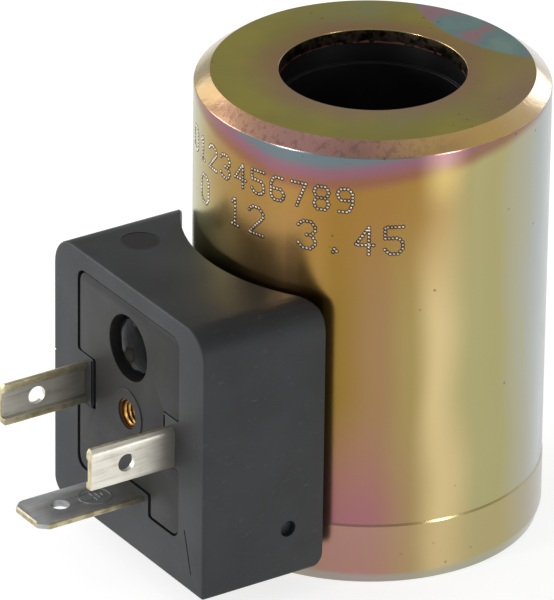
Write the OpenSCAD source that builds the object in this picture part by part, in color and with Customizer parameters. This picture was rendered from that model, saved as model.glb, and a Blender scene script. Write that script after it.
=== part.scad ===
// Solenoid coil for a screw-in cartridge valve: a steel can with a through bore that slides over the
// valve's tube, and a moulded plastic block at the side that carries the three plug blades.
// The origin is on the bore axis at the bottom face. +Z runs up the bore, and the blades point to -Y.

/* [Steel can] */
// Outside diameter of the can
can_diameter = 39; // [30:0.1:50]
// Height of the whole coil
coil_height = 53; // [40:0.1:70]
// Through bore that fits over the valve tube
bore_diameter = 20.5; // [12:0.1:26]
// Thickness of the can's side wall
can_wall = 2; // [1:0.1:4]
// Thickness of the can's closed top
can_top = 1.7; // [1:0.1:4]
// Radial width of the bevel round the top rim
rim_bevel_width = 1.8; // [0.2:0.1:3]
// Height of the bevel round the top rim
rim_bevel_height = 1.35; // [0.2:0.05:3]

/* [Pole ring] */
// Height of the flush band that closes the bottom
ring_height = 7.3; // [3:0.1:12]
// How far the ring reaches up inside the can
ring_spigot = 1.7; // [1:0.1:4]
// How far the ring stands proud of the can, on the radius
ring_proud = 0.08; // [0:0.01:0.5]
// Height of the ring's bottom bevel
ring_bevel_height = 1.45; // [0.2:0.05:3]
// Radial width of the ring's bottom bevel
ring_bevel_width = 0.45; // [0.1:0.05:2]

/* [Bobbin and winding] */
// Wall of the bobbin's tube
bobbin_wall = 1.2; // [0.6:0.1:3]
// Thickness of each bobbin flange
flange_thickness = 1.5; // [0.8:0.1:3]
// Outside radius of each bobbin flange
flange_radius = 16.2; // [12:0.1:17]
// Depth of the seal seat below the can's top
seal_seat_height = 2.4; // [0:0.1:5]
// How much wider the seal seat is than the bore, on the radius
seal_seat_step = 0.35; // [0.1:0.05:1]
// Outside radius of the copper winding
winding_radius = 15.6; // [12:0.1:17]
// Thickness of the tape round the winding
tape_thickness = 0.2; // [0.05:0.05:0.5]
// Diameter of the winding's two end wires
lead_diameter = 0.8; // [0.3:0.1:1.2]
// Outside diameter of the sleeves on the end wires
sleeve_diameter = 1.4; // [0.8:0.1:2]

/* [Connector block] */
// Width of the block
block_width = 30.4; // [26:0.1:40]
// Distance from the bore axis to the block's front face
block_reach = 31.3; // [26:0.1:40]
// Height of the block's underside above the coil's bottom
block_bottom = 3.35; // [0:0.05:10]
// Height of the block's top above the coil's bottom
block_top = 35.05; // [30:0.05:45]
// Radius of the two top corners of the front face
block_top_radius = 3.5; // [1:0.1:6]
// Radius of the bottom left corner of the front face; the right one is square
block_bottom_radius = 1.8; // [0.5:0.1:4]
// Radius of the hollow in the block's back that follows the can
block_back_radius = 20.8; // [19:0.1:24]
// Distance from the bore axis to the blunt back corners
block_back_reach = 15.8; // [14:0.1:20]
// Half width of the neck that passes through the can's window
neck_half_width = 9.2; // [4:0.1:12]
// Bottom of the neck and window
neck_bottom = 11.5; // [9:0.1:15]
// Top of the neck and window
neck_top = 30.5; // [25:0.1:34]

/* [Terminal carrier] */
// Half width of the carrier
carrier_half_width = 10.3; // [8:0.1:12]
// Bottom edge of the carrier
carrier_bottom = 8.6; // [5:0.1:10]
// Top edge of the carrier
carrier_top = 32.9; // [30:0.1:34]
// Depth of the carrier behind the block's face
carrier_depth = 4; // [2:0.1:6]
// Gap all round the carrier
carrier_gap = 0.2; // [0.05:0.01:0.3]
// Diameter of the round recess above the thread
recess_diameter = 7.6; // [4:0.1:9]
// Height of the recess centre above the coil's bottom
recess_height = 27.4; // [24:0.1:30]
// Diameter of the nominal screw thread, M3
thread_diameter = 3; // [2:0.5:4]
// Height of the thread's axis above the coil's bottom
thread_height = 19.45; // [16:0.05:24]
// Depth of the threaded hole
thread_depth = 6; // [4:0.5:8]

/* [Blades] */
// Distance between the middle planes of the two current blades
blade_pitch = 18; // [10:0.5:20]
// Width of each current blade
blade_width = 5; // [4:0.1:6.3]
// Thickness of each current blade over its rims
blade_thickness = 1; // [0.6:0.1:1.2]
// Length of each current blade beyond the face
blade_length = 10.65; // [8:0.05:14]
// Depth of the channel in each current blade
blade_channel = 0.4; // [0.1:0.1:0.6]
// Diameter of the hole in each blade
blade_hole = 2.1; // [1:0.1:3]
// Width of the earth blade
earth_width = 6.3; // [4:0.1:7]
// Thickness of the earth blade
earth_thickness = 0.8; // [0.5:0.1:1.2]
// Length of the earth blade beyond the face
earth_length = 12.95; // [8:0.1:16]
// Height of the earth blade's top side
earth_top = 10.7; // [9:0.1:12]

/* [Hidden] */
$fn = 96;
few_sides = 48;
can_radius = can_diameter / 2;
can_inner = can_radius - can_wall;
bore_radius = bore_diameter / 2;
top_underside = coil_height - can_top;
ring_top = ring_height + ring_spigot;
ring_radius = can_radius + ring_proud;
ring_step_height = 0.25;
tube_radius = bore_radius + bobbin_wall;
winding_bottom = ring_top + flange_thickness;
winding_top = top_underside - flange_thickness;
tape_radius = winding_radius + tape_thickness;
block_half = block_width / 2;
window_reach = 0.75 * winding_radius;
face = -block_reach;
carrier_back = face + carrier_depth;
carrier_radius = 1.3;
notch_half = 4.2;
notch_top = 11.3;
side_notch_inner = 7.1;
side_notch_bottom = 17;
side_notch_top = 22.9;
back_corner_radius = 1.6;
slot_width = 0.5;
slot_depth = 1.2;
slot_bottom = side_notch_bottom + 0.1;
slot_height = side_notch_top - side_notch_bottom - 0.4;
dimple_radius = 0.95;
dimple_depth = 0.8;
dimple_y = -20.3;
dimple_height = 9.1;
ejector_mark = [-8.35, -24.5];
ejector_radius = 2.15;
ejector_depth = 0.12;
insert_radius = 2.5;
insert_length = 6.5;
insert_front = face + 0.15;
boss_radius = 2.9;
boss_height = 0.1;
lip_radius = 1.7;
plug_front = face + 0.05;
plug_floor = face + 1.6;
plug_crown = 0.3;
plug_radius = recess_diameter / 2 - 0.65;
plug_sphere = (pow(plug_radius, 2) + pow(plug_crown, 2)) / (2 * plug_crown);
tail_end = -22.5;
tail_start = -26;
tail_half = 1;
blade_hole_reach = 6.1;
earth_hole_reach = 8.6;
lead_radius = lead_diameter / 2;
solder_film = 0.06;
tail_face = blade_pitch / 2 - blade_thickness / 2;
lead_x = tail_face - lead_radius - solder_film;
lead_bend = -24;
start_height = 13.5;
finish_height = 26;
joint_height = thread_height + 0.2;
joint_radius = 0.95;
joint_half_wrap = 0.6;
joint_body = 0.8;
joint_cone = 0.5;
lead_overlap = 0.6;
lead_ball_sides = 24;
lead_root = -sqrt(pow(winding_radius, 2) - pow(lead_x, 2));
sleeve_back = -17;
sleeve_front = -22.8;
strap_half = 2;
strap_thickness = 0.5;
strap_front = -25.8;
strap_riser = -22;
leg_front = 0.06 - sqrt(pow(can_inner, 2) - pow(strap_half, 2));
strap_leg_bottom = ring_top + 0.6;
rivet_y = -24.2;
rivet_radius = 0.8;
rivet_head = 1.3;
rivet_head_height = 0.4;
through = 1;

// A rod along Y from y0 to y1
module rod_y(radius, y0, y1) {
    translate([0, y1, 0]) rotate([90, 0, 0]) cylinder(r = radius, h = y1 - y0);
}

// A flat shape drawn in X and Z, made solid from y0 to y1
module slab_y(y0, y1) {
    translate([0, y1, 0]) rotate([90, 0, 0]) linear_extrude(y1 - y0) children();
}

// A rectangle with one radius on the two upper corners and another on the two lower ones
module rounded_box_2d(half, low, high, upper, lower) {
    difference() {
        translate([-half, low]) square([2 * half, high - low]);
        for (side = [-1, 1]) {
            difference() {
                translate([side * half - upper, high - upper]) square([2 * upper, 2 * upper]);
                translate([side * (half - upper), high - upper]) circle(upper);
                translate([side * (half - upper) - upper, high - 2 * upper]) square([2 * upper, upper]);
                translate([side * (half - 1.5 * upper) - upper / 2, high - upper]) square([upper, upper]);
            }
            difference() {
                translate([side * half - lower, low - lower]) square([2 * lower, 2 * lower]);
                translate([side * (half - lower), low + lower]) circle(lower);
                translate([side * (half - lower) - lower, low + lower]) square([2 * lower, lower]);
                translate([side * (half - 1.5 * lower) - lower / 2, low]) square([lower, lower]);
            }
        }
    }
}

module window_box(extra) {
    translate([-neck_half_width, -block_back_radius - extra, neck_bottom])
        cube([2 * neck_half_width, block_back_radius + extra - window_reach, neck_top - neck_bottom]);
}

module coil_can() {
    color([0.72, 0.62, 0.38]) difference() {
        rotate_extrude() polygon([[bore_radius, coil_height], [can_radius - rim_bevel_width, coil_height],
            [can_radius, coil_height - rim_bevel_height], [can_radius, ring_height],
            [can_inner, ring_height], [can_inner, top_underside], [bore_radius, top_underside]]);
        window_box(through);
    }
}

module pole_ring() {
    color([0.68, 0.6, 0.4]) rotate_extrude() polygon([
        [bore_radius, 0], [ring_radius - ring_bevel_width, 0], [ring_radius, ring_bevel_height],
        [ring_radius, ring_height - ring_step_height], [can_radius, ring_height],
        [can_inner, ring_height], [can_inner, ring_top], [bore_radius, ring_top]]);
}

module bobbin() {
    seat_radius = bore_radius + seal_seat_step;
    seat_bottom = top_underside - seal_seat_height;
    color([0.16, 0.16, 0.17]) rotate_extrude() polygon([[bore_radius, ring_top], [flange_radius, ring_top],
        [flange_radius, winding_bottom], [tube_radius, winding_bottom], [tube_radius, winding_top],
        [flange_radius, winding_top], [flange_radius, top_underside], [seat_radius, top_underside],
        [seat_radius, seat_bottom], [bore_radius, seat_bottom]]);
}

module winding() {
    color([0.72, 0.36, 0.16]) translate([0, 0, winding_bottom]) difference() {
        cylinder(r = winding_radius, h = winding_top - winding_bottom);
        translate([0, 0, -through])
            cylinder(r = tube_radius, h = winding_top - winding_bottom + 2 * through);
    }
}

module winding_tape() {
    color([0.85, 0.72, 0.3]) difference() {
        translate([0, 0, winding_bottom]) cylinder(r = tape_radius, h = winding_top - winding_bottom);
        translate([0, 0, winding_bottom - through])
            cylinder(r = winding_radius, h = winding_top - winding_bottom + 2 * through);
        for (side = [-1, 1])
            lead_window(side);
    }
}

// The small cut in the tape where an end wire comes out of the winding
module lead_window(side) {
    height = side < 0 ? start_height : finish_height;
    translate([side * lead_x, 0, height]) rod_y(lead_radius, -can_inner, 0, $fn = few_sides);
}

module carrier_outline(gap) {
    difference() {
        rounded_box_2d(carrier_half_width - gap, carrier_bottom + gap, carrier_top - gap,
            carrier_radius, carrier_radius);
        translate([-notch_half - gap, carrier_bottom - through])
            square([2 * (notch_half + gap), notch_top + gap - carrier_bottom + through]);
        for (side = [-1, 1])
            translate([side * (carrier_half_width + side_notch_inner - gap) / 2,
                (side_notch_bottom + side_notch_top) / 2])
                square([carrier_half_width - side_notch_inner + gap,
                    side_notch_top - side_notch_bottom + 2 * gap], center = true);
    }
}

module block_outline() {
    rounded_box_2d(block_half, block_bottom, block_top, block_top_radius, block_bottom_radius);
    translate([block_half - 2 * block_bottom_radius, block_bottom]) square(2 * block_bottom_radius);
}

// The open slot beside the root of each current blade
module blade_slots() {
    for (side = [-1, 1])
        translate([side * (side_notch_inner + slot_width / 2) - slot_width / 2, face - through,
            slot_bottom])
            cube([slot_width, slot_depth + through, slot_height]);
}

module encapsulation() {
    rotate_extrude() polygon([[flange_radius, ring_top], [can_inner, ring_top], [can_inner, top_underside],
        [flange_radius, top_underside], [flange_radius, winding_top], [tape_radius, winding_top],
        [tape_radius, winding_bottom], [flange_radius, winding_bottom]]);
}

module neck() {
    difference() {
        window_box(0);
        translate([0, 0, neck_bottom - through])
            cylinder(r = tape_radius, h = neck_top - neck_bottom + 2 * through);
    }
}

// What is taken off a back edge of the block to round it
module back_corner_cut(level, side) {
    middle = level - side * back_corner_radius;
    difference() {
        translate([-block_width, -block_back_reach - back_corner_radius, min(middle, middle + side * 2)])
            cube([2 * block_width, back_corner_radius + through, 2]);
        translate([-block_width - through, -block_back_reach - back_corner_radius, middle])
            rotate([0, 90, 0]) cylinder(r = back_corner_radius, h = 2 * block_width + 2 * through);
    }
}

module block() {
    difference() {
        slab_y(face, -block_back_reach) block_outline();
        translate([0, 0, block_bottom - through])
            cylinder(r = block_back_radius, h = block_top - block_bottom + 2 * through);
        back_corner_cut(block_top, 1);
        back_corner_cut(block_bottom, -1);
    }
}

module overmould() {
    color([0.13, 0.13, 0.14]) difference() {
        union() {
            encapsulation();
            neck();
            block();
        }
        slab_y(face - through, carrier_back) carrier_outline(0);
        blade_slots();
        translate([0, 0, thread_height])
            rod_y(insert_radius, carrier_back - through, insert_front + insert_length);
        translate([block_half - dimple_depth, dimple_y, dimple_height]) rotate([0, 90, 0])
            cylinder(r = dimple_radius, h = dimple_depth + through, $fn = few_sides);
        translate([ejector_mark.x, ejector_mark.y, block_top - ejector_depth])
            cylinder(r = ejector_radius, h = through);
        terminal_blade_1();
        terminal_blade_2();
        earth_blade_blank();
        earth_strap();
        earth_rivet();
        for (side = [-1, 1]) {
            lead(side);
            solder_blob(side);
            sleeve_blank(side);
        }
    }
}

module terminal_carrier() {
    color([0.15, 0.15, 0.16]) difference() {
        union() {
            slab_y(face, carrier_back) carrier_outline(carrier_gap);
            translate([0, 0, thread_height]) rod_y(boss_radius, face - boss_height, carrier_back);
        }
        translate([0, 0, recess_height]) rod_y(recess_diameter / 2, face - through, carrier_back + through);
        translate([0, 0, thread_height]) rod_y(lip_radius, face - through, insert_front + through);
        translate([0, 0, thread_height]) rod_y(insert_radius, insert_front, carrier_back + through);
    }
}

module recess_plug() {
    color([0.04, 0.04, 0.05]) translate([0, 0, recess_height]) {
        rod_y(recess_diameter / 2, plug_floor, carrier_back);
        rod_y(plug_radius, plug_front + plug_crown, plug_floor + through);
        intersection() {
            translate([0, plug_front + plug_sphere, 0]) rotate([90, 0, 0]) sphere(plug_sphere);
            rod_y(plug_radius, plug_front - through, plug_front + plug_crown + through / 2);
        }
    }
}

module thread_insert() {
    color([0.78, 0.6, 0.25]) translate([0, 0, thread_height]) difference() {
        rod_y(insert_radius, insert_front, insert_front + insert_length);
        rod_y(thread_diameter / 2, insert_front - through, insert_front + thread_depth);
    }
}

// A current blade in the middle plane, with its channel on the side facing +X
module blade() {
    half = blade_width / 2;
    rim = 0.85;
    outer_bevel = 0.25;
    tip_bevel = 0.35;
    tip = face - blade_length;
    channel_end = face + 0.5;
    difference() {
        slab_y(tip, tail_start) polygon([[-blade_thickness / 2, half - outer_bevel],
            [outer_bevel - blade_thickness / 2, half], [blade_thickness / 2, half],
            [blade_thickness / 2, -half], [outer_bevel - blade_thickness / 2, -half],
            [-blade_thickness / 2, outer_bevel - half]]);
        translate([blade_thickness / 2 - blade_channel, tip - through, rim - half])
            cube([through, channel_end - tip + through, blade_width - 2 * rim]);
        translate([-through, face - blade_hole_reach, 0]) rotate([0, 90, 0])
            cylinder(r = blade_hole / 2, h = 2 * through, $fn = few_sides);
        for (side = [-1, 1])
            translate([0, tip, side * half]) rotate([45, 0, 0])
                cube([3 * through, tip_bevel * sqrt(2), tip_bevel * sqrt(2)], center = true);
    }
    translate([-blade_thickness / 2, tail_start, -tail_half])
        cube([blade_thickness, tail_end - tail_start, 2 * tail_half]);
}

module terminal_blade_1() {
    color([0.74, 0.72, 0.66]) translate([-blade_pitch / 2, 0, thread_height]) blade();
}

module terminal_blade_2() {
    color([0.74, 0.72, 0.66]) translate([blade_pitch / 2, 0, thread_height]) mirror([1, 0, 0]) blade();
}

module earth_blade_blank() {
    tip = face - earth_length;
    tip_bevel = 1;
    difference() {
        translate([-earth_width / 2, tip, earth_top - earth_thickness])
            cube([earth_width, tail_end - tip, earth_thickness]);
        for (side = [-1, 1])
            translate([side * earth_width / 2, tip, earth_top]) rotate([0, 0, 45])
                cube([tip_bevel * sqrt(2), tip_bevel * sqrt(2), 3 * through], center = true);
        translate([0, face - earth_hole_reach, earth_top - 2 * through])
            cylinder(r = blade_hole / 2, h = 3 * through, $fn = few_sides);
    }
}

module earth_blade() {
    color([0.74, 0.72, 0.66]) difference() {
        earth_blade_blank();
        translate([0, rivet_y, earth_top - 2 * through])
            cylinder(r = rivet_radius, h = 3 * through, $fn = few_sides);
    }
}

module earth_strap() {
    color([0.74, 0.6, 0.3]) difference() {
        union() {
            translate([-strap_half, strap_front, earth_top])
                cube([2 * strap_half, strap_riser - strap_front, strap_thickness]);
            translate([-strap_half, strap_riser - strap_thickness, earth_top])
                cube([2 * strap_half, strap_thickness, neck_bottom + strap_thickness - earth_top]);
            translate([-strap_half, strap_riser - strap_thickness, neck_bottom])
                cube([2 * strap_half, leg_front + 2 * strap_thickness - strap_riser, strap_thickness]);
            translate([-strap_half, leg_front, strap_leg_bottom])
                cube([2 * strap_half, strap_thickness, neck_bottom + strap_thickness - strap_leg_bottom]);
        }
        translate([0, rivet_y, earth_top - through])
            cylinder(r = rivet_radius, h = 3 * through, $fn = few_sides);
    }
}

module earth_rivet() {
    low = earth_top - earth_thickness - rivet_head_height;
    high = earth_top + strap_thickness;
    color([0.75, 0.75, 0.75]) translate([0, rivet_y, 0]) {
        translate([0, 0, low]) cylinder(r = rivet_head, h = rivet_head_height, $fn = few_sides);
        translate([0, 0, low])
            cylinder(r = rivet_radius, h = high - low + rivet_head_height, $fn = few_sides);
        translate([0, 0, high]) cylinder(r = rivet_head, h = rivet_head_height, $fn = few_sides);
    }
}

// The end wire on one side: out from the winding, then along to the blade's tail
module lead(side) {
    height = side < 0 ? start_height : finish_height;
    low = side < 0 ? start_height : joint_height - joint_half_wrap;
    high = side < 0 ? joint_height + joint_half_wrap : finish_height;
    translate([side * lead_x, 0, 0]) {
        difference() {
            translate([0, 0, height]) rod_y(lead_radius, lead_bend, lead_root + lead_overlap);
            translate([-side * lead_x, 0, winding_bottom])
                cylinder(r = winding_radius, h = winding_top - winding_bottom);
        }
        translate([0, lead_bend, height]) sphere(lead_radius, $fn = lead_ball_sides);
        translate([0, lead_bend, low]) cylinder(r = lead_radius, h = high - low);
    }
}

module lead_start() {
    color([0.75, 0.4, 0.2]) lead(-1);
}

module lead_finish() {
    color([0.75, 0.4, 0.2]) lead(1);
}

module sleeve_blank(side) {
    height = side < 0 ? start_height : finish_height;
    translate([side * lead_x, 0, height]) rod_y(sleeve_diameter / 2, sleeve_front, sleeve_back);
}

module sleeve(side) {
    color([0.85, 0.85, 0.8]) difference() {
        sleeve_blank(side);
        lead(side);
    }
}

module sleeve_start() {
    sleeve(-1);
}

module sleeve_finish() {
    sleeve(1);
}

module solder_blob(side) {
    half_clip = 2;
    intersection() {
        translate([side * lead_x, lead_bend, joint_height]) {
            cylinder(r = joint_radius, h = joint_body, center = true);
            translate([0, 0, joint_body / 2]) cylinder(r1 = joint_radius, r2 = lead_radius, h = joint_cone);
            translate([0, 0, -joint_body / 2 - joint_cone])
                cylinder(r1 = lead_radius, r2 = joint_radius, h = joint_cone);
        }
        translate([side * (tail_face - half_clip) - half_clip, lead_bend - half_clip,
            joint_height - half_clip])
            cube(2 * half_clip);
    }
}

module solder(side) {
    color([0.72, 0.73, 0.75]) difference() {
        solder_blob(side);
        lead(side);
    }
}

module solder_start() {
    solder(-1);
}

module solder_finish() {
    solder(1);
}

coil_can();
pole_ring();
bobbin();
winding();
winding_tape();
overmould();
terminal_carrier();
recess_plug();
thread_insert();
terminal_blade_1();
terminal_blade_2();
earth_blade();
earth_strap();
earth_rivet();
lead_start();
lead_finish();
sleeve_start();
sleeve_finish();
solder_start();
solder_finish();
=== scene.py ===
"""Finish for a valve solenoid coil: plated steel can, moulded connector block and plug blades."""

import math

import bmesh
import bpy
from mathutils import Matrix, Vector


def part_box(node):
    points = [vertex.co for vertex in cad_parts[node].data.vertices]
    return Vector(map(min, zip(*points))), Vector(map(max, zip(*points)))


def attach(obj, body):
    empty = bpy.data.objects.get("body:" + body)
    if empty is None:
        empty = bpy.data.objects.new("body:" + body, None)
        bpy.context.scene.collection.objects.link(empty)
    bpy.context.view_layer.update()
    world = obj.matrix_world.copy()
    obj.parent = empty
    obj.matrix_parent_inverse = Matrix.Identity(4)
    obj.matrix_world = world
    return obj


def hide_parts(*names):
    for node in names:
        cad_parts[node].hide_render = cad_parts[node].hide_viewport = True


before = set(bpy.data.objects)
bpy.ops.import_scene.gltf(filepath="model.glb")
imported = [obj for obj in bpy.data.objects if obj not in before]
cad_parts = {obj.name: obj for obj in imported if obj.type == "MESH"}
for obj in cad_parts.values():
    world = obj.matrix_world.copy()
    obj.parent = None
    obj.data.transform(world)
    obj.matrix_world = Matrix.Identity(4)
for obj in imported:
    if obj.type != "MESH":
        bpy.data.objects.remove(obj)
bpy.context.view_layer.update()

MM = 0.001
RIG = "root"

# Sizes in metres, some read from the imported parts and the rest given
can_low, can_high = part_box("coil_can")
ring_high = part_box("pole_ring")[1]
bobbin_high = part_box("bobbin")[1]
carrier_low, carrier_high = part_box("terminal_carrier")
winding_low, winding_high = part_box("winding")
insert_low, insert_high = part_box("thread_insert")
plug_low, plug_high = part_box("recess_plug")
earth_low, earth_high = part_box("earth_blade")

CAN_RADIUS = can_high.x
COIL_TOP = can_high.z
BORE_RADIUS = 10.25 * MM
CAN_WALL = 2 * MM
CAN_TOP = 1.7 * MM
CAN_INSIDE = CAN_RADIUS - CAN_WALL
RIM_WIDTH = 1.8 * MM
RIM_HEIGHT = 1.35 * MM
STEP_HEIGHT = can_low.z
RING_RADIUS = ring_high.x
RING_TOP = ring_high.z
FLANGE_RADIUS = bobbin_high.x
FLANGE_THICK = 1.5 * MM
TAPE_RADIUS = 15.8 * MM
FACE = carrier_low.y + 0.1 * MM
BLOCK_HALF = 15.2 * MM
BLOCK_BOTTOM = 3.35 * MM
BLOCK_TOP = 35.05 * MM
BLOCK_BACK_RADIUS = 20.8 * MM
BLOCK_BACK = -15.8 * MM
NECK_HALF = 9.2 * MM
NECK_BOTTOM = 11.5 * MM
NECK_TOP = 30.5 * MM
CARRIER_GAP = 0.2 * MM
SCREW_HEIGHT = (insert_low.z + insert_high.z) / 2
INSERT_RADIUS = (insert_high.x - insert_low.x) / 2
RECESS_HEIGHT = (plug_low.z + plug_high.z) / 2
RECESS_RADIUS = (plug_high.x - plug_low.x) / 2
EJECTOR_X, EJECTOR_Y, EJECTOR_RADIUS = -8.35 * MM, -24.5 * MM, 2.0 * MM


# ---------------------------------------------------------------- mesh helpers


def new_piece(name, mesh):
    piece = bpy.data.objects.new(name, mesh)
    bpy.context.scene.collection.objects.link(piece)
    return piece


def remove_piece(piece):
    mesh = piece.data
    bpy.data.objects.remove(piece)
    bpy.data.meshes.remove(mesh)


def settle(piece):
    """Turns the piece's modifiers into plain mesh."""
    graph = bpy.context.evaluated_depsgraph_get()
    finished = bpy.data.meshes.new_from_object(piece.evaluated_get(graph))
    old = piece.data
    piece.modifiers.clear()
    piece.data = finished
    bpy.data.meshes.remove(old)
    finished.name = piece.name
    return piece


def smooth(piece, angle=28):
    piece.data.shade_smooth()
    piece.data.set_sharp_from_angle(angle=math.radians(angle))
    return piece


def from_bmesh(name, work, merge=1e-7):
    bmesh.ops.remove_doubles(work, verts=work.verts, dist=merge)
    bmesh.ops.recalc_face_normals(work, faces=work.faces)
    mesh = bpy.data.meshes.new(name)
    work.to_mesh(mesh)
    work.free()
    return new_piece(name, mesh)


def arc(centre_a, centre_b, radius, start, end, steps):
    """Points on an arc, with the angles in degrees."""
    turn = math.radians(end - start) / steps
    first = math.radians(start)
    angles = [first + turn * i for i in range(steps + 1)]
    return [(centre_a + radius * math.cos(a), centre_b + radius * math.sin(a)) for a in angles]


def round_corners(points, radii, steps):
    """A closed outline with each corner rounded by its own radius."""
    outline = []
    count = len(points)
    for i, (point, radius) in enumerate(zip(points, radii)):
        corner = Vector(point)
        before = Vector(points[i - 1]) - corner
        after = Vector(points[(i + 1) % count]) - corner
        if radius <= 0:
            outline.append(tuple(corner))
            continue
        opening = before.angle(after)
        reach = radius / math.tan(opening / 2)
        start = corner + before.normalized() * reach
        end = corner + after.normalized() * reach
        inward = (before.normalized() + after.normalized()).normalized()
        middle = corner + inward * (radius / math.sin(opening / 2))
        arm, last = start - middle, end - middle
        sweep = arm.angle_signed(last)
        for k in range(steps + 1):
            outline.append(tuple(middle + Matrix.Rotation(-sweep * k / steps, 2) @ arm))
    return outline


def turned(name, section, steps, axis="Z", centre=(0, 0, 0)):
    """A lathe-turned piece from a closed section of (radius, height) points."""
    work = bmesh.new()
    rings = []
    for i in range(steps):
        angle = 2 * math.pi * i / steps
        ring = []
        for radius, height in section:
            across = (radius * math.cos(angle), radius * math.sin(angle))
            point = (*across, height) if axis == "Z" else (across[0], height, across[1])
            ring.append(work.verts.new(Vector(point) + Vector(centre)))
        rings.append(ring)
    count = len(section)
    for i in range(steps):
        one, two = rings[i], rings[(i + 1) % steps]
        for k in range(count):
            n = (k + 1) % count
            if section[k][0] == 0 and section[n][0] == 0:
                continue
            corners = [one[k], two[k], two[n], one[n]]
            if section[k][0] == 0:
                corners = [one[k], two[n], one[n]]
            elif section[n][0] == 0:
                corners = [one[k], two[k], one[n]]
            work.faces.new(corners)
    return smooth(from_bmesh(name, work))


def lofted(name, rings):
    """A closed solid through equal rings of 3-D points, with flat ends."""
    work = bmesh.new()
    rows = [[work.verts.new(p) for p in ring] for ring in rings]
    for one, two in zip(rows, rows[1:]):
        count = len(one)
        for k in range(count):
            n = (k + 1) % count
            work.faces.new([one[k], one[n], two[n], two[k]])
    work.faces.new(rows[0])
    work.faces.new(rows[-1])
    return from_bmesh(name, work, merge=1e-8)


def boxed(name, low, high):
    """A plain box, used only to cut or to build up a piece."""
    work = bmesh.new()
    bmesh.ops.create_cube(work, size=1)
    for vert in work.verts:
        for k in range(3):
            vert.co[k] = low[k] if vert.co[k] < 0 else high[k]
    return from_bmesh(name, work)


def rod(name, radius, start, end, sides):
    """A plain rod between two points, used only to cut or to build up a piece."""
    work = bmesh.new()
    line = Vector(end) - Vector(start)
    turn = line.to_track_quat("Z", "Y").to_matrix().to_4x4()
    place = Matrix.Translation((Vector(start) + Vector(end)) / 2) @ turn
    bmesh.ops.create_cone(
        work,
        cap_ends=True,
        segments=sides,
        radius1=radius,
        radius2=radius,
        depth=line.length,
        matrix=place,
    )
    return from_bmesh(name, work)


def combine(piece, *tools, action="DIFFERENCE"):
    for tool in tools:
        step = piece.modifiers.new("combine", "BOOLEAN")
        step.operation = action
        step.solver = "EXACT"
        step.object = tool
        settle(piece)
        remove_piece(tool)
    return piece


def soften(piece, width, segments, angle):
    """Rounds the edges sharper than the angle."""
    step = piece.modifiers.new("soften", "BEVEL")
    step.width = width
    step.segments = segments
    step.limit_method = "ANGLE"
    step.angle_limit = math.radians(angle)
    step.use_clamp_overlap = True
    step.harden_normals = False
    return settle(piece)


def bevelled_slab(name, outline, inset_outline, front, back, roll, steps):
    """An outline in X and Z made solid towards +Y, its front edge rounded by roll."""
    rings = []
    for k in range(steps + 1):
        turn = math.pi / 2 * k / steps
        share = 1 - math.sin(turn)
        y = front + roll * (1 - math.cos(turn))
        rings.append(
            [
                (ox + (ix - ox) * share, y, oz + (iz - oz) * share)
                for (ox, oz), (ix, iz) in zip(outline, inset_outline)
            ]
        )
    rings.append([(x, back, z) for x, z in outline])
    return lofted(name, rings)


# ------------------------------------------------------------ material helpers


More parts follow.
